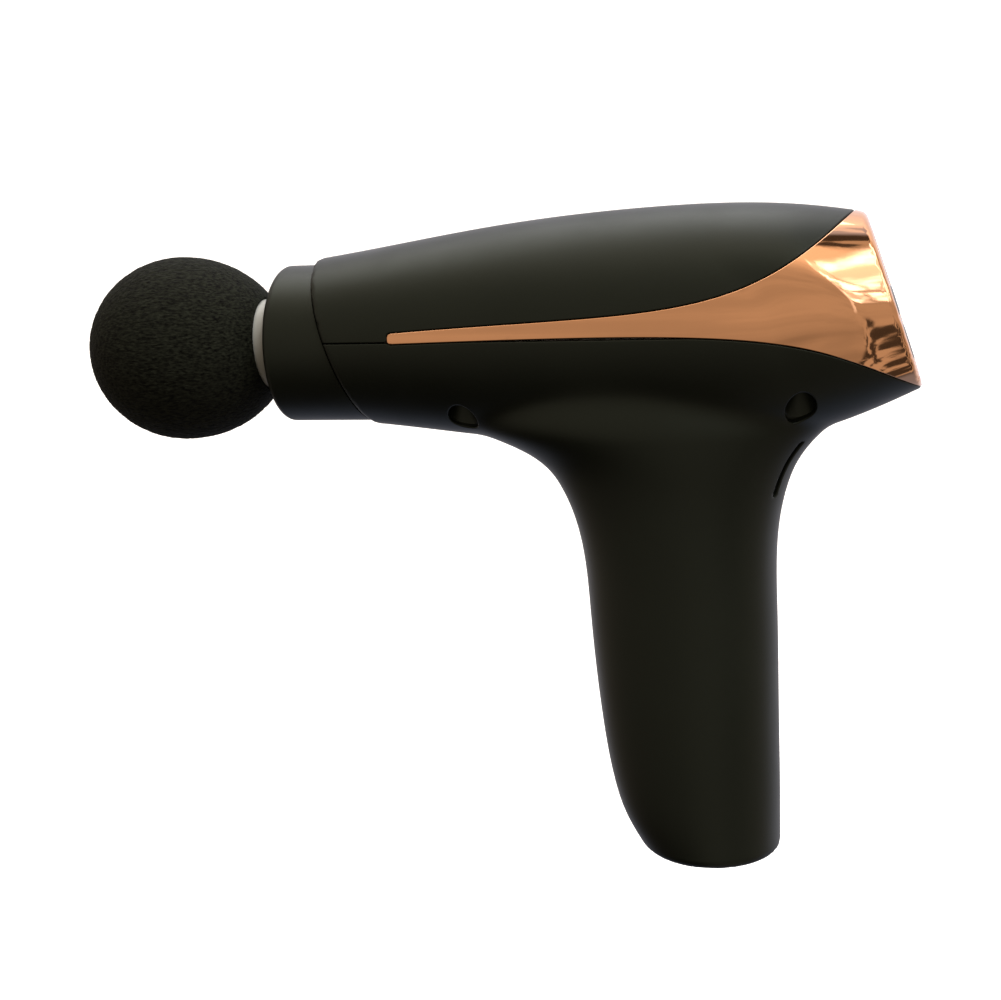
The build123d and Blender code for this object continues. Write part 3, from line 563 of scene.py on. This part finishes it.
def foam_cells(p):
    """Height of the foam's surface: small pits between slightly lengthened cells."""
    out = np.empty(len(p))
    for i, (x, y, z) in enumerate(p):
        fine = noise_at(Vector((x, y, z * 1.7)))
        coarse = noise_at(Vector((x * 0.35, y * 0.35, z * 0.5 + 40)))
        out[i] = 0.15 * fine + 0.05 * coarse
    return np.clip(out, -0.14, 0.10)


def solid_skin(name, field, points, quads, keep, thickness, body, slot_name, cells=False):
    """Closed shell over part of a surface, its outer edge rounded, with normals taken from the surface."""
    p, faces, edge, border = trimmed_sheet(field, points, quads, keep)
    n = unit(gradient(field, p))
    g = np.clip(keep(p), 0, None)
    g[edge] = 0
    t = side_ways(keep, p, n)
    lean = np.clip(1 - g / EDGE, 0, 1)
    drop = EDGE * (1 - np.sqrt(1 - lean ** 2))
    outer = p - n * drop[:, None]
    outer_normal = unit(n * np.sqrt(1 - lean ** 2)[:, None] + t * lean[:, None])
    inner = p - n * thickness
    if cells:
        outer += n * foam_cells(p)[:, None]
    count = len(p)
    vertices = np.concatenate([outer, inner])
    rim = np.stack([border[:, 1], border[:, 0], border[:, 0] + count, border[:, 1] + count], 1)
    polygons = [list(f) for f in faces]
    polygons += [[a + count for a in f[::-1]] for f in faces]
    polygons += [list(f) for f in rim]
    mesh = bpy.data.meshes.new(name)
    mesh.from_pydata([tuple(v) for v in vertices * 0.001], [], polygons)
    normals = np.concatenate([
        outer_normal[faces].reshape(-1, 3),
        -n[faces[:, ::-1]].reshape(-1, 3),
        t[np.stack([border[:, 1], border[:, 0], border[:, 0], border[:, 1]], 1)].reshape(-1, 3),
    ])
    mesh.shade_smooth()
    if not cells:
        mesh.normals_split_custom_set(normals)
    return link(name, mesh, body, slot_name)


def link(name, mesh, body, slot_name):
    """Puts a piece in the scene, with its material, its slot and its body."""
    obj = bpy.data.objects.new(name, mesh)
    scene.collection.objects.link(obj)
    obj.data.materials.append(MATERIALS[slot_name])
    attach(obj, body)
    return obj


net_points, net_quads = surface_net(envelope, (-120, -32, -56), (62, 32, 130), 1.5)
net_points = relax(net_points, net_quads, 3, envelope)
shells = [("upper_shell", keep_upper, "soft_black"),
          ("lower_shell", keep_lower, "soft_black"),
          ("rear_trim", keep_trim, "copper_plate")]
for node, keep, slot_name in shells:
    skin = solid_skin(node + "_skin", envelope, net_points, net_quads, keep, SKIN, "housing", slot_name)
    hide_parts(node)


def ring_piece(name, stacks, sharp, body, slot_name):
    """Piece made of stacks of rings of points, each stack closed on itself."""
    bm = bmesh.new()
    for stack in stacks:
        rings = [[bm.verts.new(q * 0.001) for q in ring] for ring in stack]
        for a, b in zip(rings, rings[1:] + rings[:1]):
            for i in range(len(a)):
                j = (i + 1) % len(a)
                bm.faces.new((a[i], a[j], b[j], b[i]))
    bmesh.ops.recalc_face_normals(bm, faces=list(bm.faces))
    mesh = bpy.data.meshes.new(name)
    bm.to_mesh(mesh)
    bm.free()
    mesh.shade_smooth()
    mesh.set_sharp_from_angle(angle=math.radians(sharp))
    link(name, mesh, body, slot_name)


# Tubes up from the screw recesses to the seats of the screws, each with a floor round the screw
TUBE_SIDES = 48
TUBE_R = SCREW_HOLE_R + 0.8
SCREW_CLEAR_R = 1.75
BELOW_FLANK_Z = 56.0        # lower than the flanks above the recesses
UNDER_SKIN = 1.0            # depth at which a tube meets the shell


def recess_tube(x, y):
    """Rings of points from the outer surface to the seat, inside and outside the tube."""
    turn = np.linspace(0, 2 * math.pi, TUBE_SIDES, endpoint=False)

    def level(radius, z):
        return np.stack([x + radius * np.cos(turn), y + radius * np.sin(turn), np.full(TUBE_SIDES, z)], 1)

    def at_skin(radius):
        """Ring of the given radius where it comes under the housing's surface."""
        at = level(radius, BELOW_FLANK_Z)
        low, high = np.full(TUBE_SIDES, BELOW_FLANK_Z), np.full(TUBE_SIDES, SCREW_SEAT_Z)
        for _ in range(24):
            at[:, 2] = (low + high) / 2
            inside = envelope(at) < -UNDER_SKIN
            high = np.where(inside, at[:, 2], high)
            low = np.where(inside, low, at[:, 2])
        return at

    seat, floor_top = SCREW_SEAT_Z, SCREW_SEAT_Z + 2
    return [at_skin(SCREW_HOLE_R), level(SCREW_HOLE_R, seat - 0.25), level(SCREW_HOLE_R - 0.25, seat),
            level(SCREW_CLEAR_R, seat), level(SCREW_CLEAR_R, floor_top), level(TUBE_R, floor_top),
            at_skin(TUBE_R)]


ring_piece("screw_tubes", [recess_tube(x, y) for x, y in COVER_SCREWS], 35, "housing", "soft_black")

# Foam ball: open-celled surface, with the hole that the neck enters
BALL_CENTRE = np.array([-153.4, 0.0, AXIS_Z - 0.9])
BALL_TIP, BALL_REAR, BALL_R = 27.8, 30.7, 26.4
BALL_HOLE_R = 13.2
FOAM_DEPTH = 6.0


def ball_distance(p):
    """Distance outside the ball, which is a little longer towards the neck."""
    q = p - BALL_CENTRE
    round_half = np.full(len(p), BALL_R)
    half = np.stack([np.where(q[:, 0] < 0, BALL_TIP, BALL_REAR), round_half, round_half], 1)
    r = np.sqrt(((q / half) ** 2).sum(1)) + 1e-9
    return (r - 1) * r / np.sqrt(((q / half ** 2) ** 2).sum(1))


def keep_ball(p):
    """Distance outside the hole of the ball."""
    return np.where(p[:, 0] > BALL_CENTRE[0], np.hypot(p[:, 1], p[:, 2] - AXIS_Z) - BALL_HOLE_R, FAR)


ball_points, ball_quads = surface_net(ball_distance, BALL_CENTRE - 33, BALL_CENTRE + 33, 0.5)
ball_points = relax(ball_points, ball_quads, 2, ball_distance)
foam = solid_skin("foam_ball_skin", ball_distance, ball_points, ball_quads, keep_ball, FOAM_DEPTH,
                  "massage_head", "eva_foam", cells=True)
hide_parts("foam_ball")

# Shoulder of the neck, which fills the hole of the ball, as positions along the axis and radii
SHOULDER = [(-128.4, 11.43), (-128.4, 12.8), (-122.9, 12.8), (-122.3, 12.65), (-121.9, 12.3),
            (-121.75, 11.9), (-121.75, 11.43)]
turns = np.linspace(0, 2 * math.pi, 120, endpoint=False)
shoulder_rings = [np.stack([np.full(120, x), r * np.cos(turns), AXIS_Z + r * np.sin(turns)], 1)
                  for x, r in SHOULDER]
ring_piece("neck_shoulder", [shoulder_rings], 40, "massage_head", "pale_plastic")


# ---------------------------------------------------------------- stage and light
FLOOR_Z = -0.30


def backdrop():
    """Pale floor that curves up into a wall behind the object."""
    start, bend = 1.2, 0.8
    turns = np.linspace(0.1, math.pi / 2, 14)
    profile = [(-3.0, FLOOR_Z), (start, FLOOR_Z)]
    profile += [(start + bend * math.sin(a), FLOOR_Z + bend * (1 - math.cos(a))) for a in turns]
    profile += [(start + bend, 4.0)]
    bm = bmesh.new()
    rows = [[bm.verts.new((x, y, z)) for y, z in profile] for x in (-5.0, 5.0)]
    for i in range(len(profile) - 1):
        bm.faces.new((rows[0][i], rows[1][i], rows[1][i + 1], rows[0][i + 1]))
    mesh = bpy.data.meshes.new("backdrop")
    bm.to_mesh(mesh)
    bm.free()
    mesh.shade_smooth()
    obj = bpy.data.objects.new("backdrop", mesh)
    scene.collection.objects.link(obj)
    mat, tree, shader = new_material("backdrop_paper")
    shader.inputs["Base Color"].default_value = (0.86, 0.86, 0.86, 1)
    shader.inputs["Roughness"].default_value = 0.9
    shader.inputs["Emission Color"].default_value = (1, 1, 1, 1)
    shader.inputs["Emission Strength"].default_value = 0.62
    mesh.materials.append(mat)
    obj.visible_glossy = False
    obj.visible_diffuse = False


def calc(tree, operation, *values):
    """Math node on sockets or numbers."""
    node = tree.nodes.new("ShaderNodeMath")
    node.operation = operation
    for i, value in enumerate(values):
        if isinstance(value, (int, float)):
            node.inputs[i].default_value = value
        else:
            tree.links.new(value, node.inputs[i])
    return node.outputs[0]


def rise(tree, value, start, stop, low=0.0, high=1.0):
    """Smooth rise of a value between two angles."""
    node = tree.nodes.new("ShaderNodeMapRange")
    node.interpolation_type = "SMOOTHSTEP"
    for key, number in (("From Min", start), ("From Max", stop), ("To Min", low), ("To Max", high)):
        node.inputs[key].default_value = number
    tree.links.new(value, node.inputs["Value"])
    return node.outputs["Result"]


def band(tree, value, start, stop, soft):
    """One between two angles, nothing outside them."""
    up = rise(tree, value, start - soft, start + soft)
    down = rise(tree, value, stop - soft, stop + soft, 1.0, 0.0)
    return calc(tree, "MULTIPLY", up, down)


def spread(tree, vector, scale, detail, stretch=None):
    """Noise over the directions of the room."""
    node = tree.nodes.new("ShaderNodeTexNoise")
    node.inputs["Scale"].default_value = scale
    node.inputs["Detail"].default_value = detail
    if stretch:
        mapping = tree.nodes.new("ShaderNodeMapping")
        mapping.inputs["Scale"].default_value = stretch
        tree.links.new(vector, mapping.inputs["Vector"])
        vector = mapping.outputs["Vector"]
    tree.links.new(vector, node.inputs["Vector"])
    return node.outputs["Fac"]


def tint(tree, value, colour):
    """Colour of the given brightness."""
    node = tree.nodes.new("ShaderNodeVectorMath")
    node.operation = "SCALE"
    node.inputs[0].default_value = colour
    tree.links.new(value, node.inputs["Scale"])
    return node.outputs[0]


def joined(tree, a, b):
    """Two colours of light added up."""
    node = tree.nodes.new("ShaderNodeVectorMath")
    tree.links.new(a, node.inputs[0])
    tree.links.new(b, node.inputs[1])
    return node.outputs[0]


def room():
    """Light of a room with a window at the right, as a world. In degrees: 0 in front, 90 at the right."""
    world = bpy.data.worlds.new("room")
    scene.world = world
    world.use_nodes = True
    tree = world.node_tree
    direction = tree.nodes.new("ShaderNodeTexCoord").outputs["Generated"]
    split = tree.nodes.new("ShaderNodeSeparateXYZ")
    tree.links.new(direction, split.inputs[0])
    x, y, z = split.outputs
    degrees = 180 / math.pi
    around = calc(tree, "MULTIPLY", calc(tree, "ARCTAN2", x, calc(tree, "MULTIPLY", y, -1.0)), degrees)
    height = calc(tree, "MULTIPLY", calc(tree, "ARCSINE", z), degrees)
    wander = calc(tree, "MULTIPLY", calc(tree, "SUBTRACT", spread(tree, direction, 2.6, 3.0), 0.5), 16.0)
    around_w = calc(tree, "ADD", around, wander)
    height_w = calc(tree, "ADD", height, wander)

    # Walls and ceiling, brighter towards the top, with furniture in front of them
    low_wall = calc(tree, "MULTIPLY", band(tree, around_w, 3, 60, 6), rise(tree, height, -40, -10, 0.36, 0.0))
    ceiling = rise(tree, height, 38, 75, 0.0, 0.9)
    walls = calc(tree, "ADD", calc(tree, "ADD", rise(tree, height, -48, 2, 0.02, 0.50), ceiling), low_wall)
    ripples = spread(tree, direction, 3.0, 5.0, (0.8, 0.8, 2.4))
    walls = calc(tree, "MULTIPLY", walls, rise(tree, ripples, 0.35, 0.65, 0.92, 1.08))
    low_part = calc(tree, "MULTIPLY", band(tree, around_w, 36, 116, 3), rise(tree, height_w, -4, 2, 1.0, 0.0))
    high_part = calc(tree, "MULTIPLY", band(tree, around_w, 72, 150, 5), rise(tree, height_w, 57, 61))
    furniture = calc(tree, "ADD", low_part, high_part)
    folds = spread(tree, direction, 5.5, 4.0, (1.6, 1.6, 0.35))
    wood = rise(tree, folds, 0.46, 0.56, 0.06, 0.55)
    clear_walls = calc(tree, "MULTIPLY", walls, calc(tree, "SUBTRACT", 1.0, furniture))
    warm = calc(tree, "ADD", clear_walls, calc(tree, "MULTIPLY", furniture, wood))

    # Window with bars and a curtain, and the lit edge of its frame
    panes = calc(tree, "MULTIPLY", band(tree, around_w, 31, 100, 2), band(tree, height_w, 24, 66, 2))
    bar = calc(tree, "MAXIMUM", band(tree, around_w, 46, 47.5, 0.6), band(tree, height_w, 38, 39.5, 0.6))
    curtain = rise(tree, folds, 0.42, 0.60, 0.75, 3.8)
    glass = calc(tree, "MULTIPLY", panes, calc(tree, "SUBTRACT", 1.0, calc(tree, "MULTIPLY", bar, 0.92)))
    frame_glow = calc(tree, "MULTIPLY", band(tree, around_w, 27, 31, 1.0), band(tree, height_w, 8, 62, 4))
    white = calc(tree, "ADD", calc(tree, "MULTIPLY", glass, curtain), calc(tree, "MULTIPLY", frame_glow, 0.7))

    # Cool wall behind
    far_wall = calc(tree, "MAXIMUM", rise(tree, around, 112, 130), rise(tree, around, -150, -110, 1.0, 0.0))
    behind = calc(tree, "MULTIPLY", far_wall, rise(tree, height, -40, 10, 0.3, 0.66))

    light = joined(tree, tint(tree, warm, (1.12, 0.92, 0.72)), tint(tree, white, (0.96, 1.0, 1.06)))
    light = joined(tree, light, tint(tree, behind, (0.82, 0.92, 1.22)))
    # Past the edge of the floor the camera sees plain white.
    seen = tree.nodes.new("ShaderNodeLightPath")
    plain = tree.nodes.new("ShaderNodeMix")
    plain.data_type = "RGBA"
    lit, blank = [socket for socket in plain.inputs if socket.type == "RGBA"]
    blank.default_value = (1, 1, 1, 1)
    tree.links.new(light, lit)
    tree.links.new(seen.outputs["Is Camera Ray"], plain.inputs["Factor"])
    background = tree.nodes["Background"]
    shown = [socket for socket in plain.outputs if socket.type == "RGBA"][0]
    tree.links.new(shown, background.inputs["Color"])
    background.inputs["Strength"].default_value = 1.0


def area_light(name, location, target, size, power, in_gloss=True):
    """Rectangular light turned towards a target."""
    data = bpy.data.lights.new(name, "AREA")
    data.shape = "RECTANGLE"
    data.size, data.size_y = size
    data.energy = power
    obj = bpy.data.objects.new(name, data)
    scene.collection.objects.link(obj)
    obj.location = location
    obj.rotation_euler = (Vector(target) - Vector(location)).to_track_quat("-Z", "Y").to_euler()
    obj.visible_glossy = in_gloss


backdrop()
room()
area_light("overhead", (-0.30, 0.30, 1.0), (-0.05, 0, 0.08), (1.1, 0.5), 4.0)
area_light("key", (0.35, -0.45, 0.95), (-0.12, 0, 0.09), (0.4, 0.4), 14.0, in_gloss=False)
scene.view_settings.view_transform = "Standard"
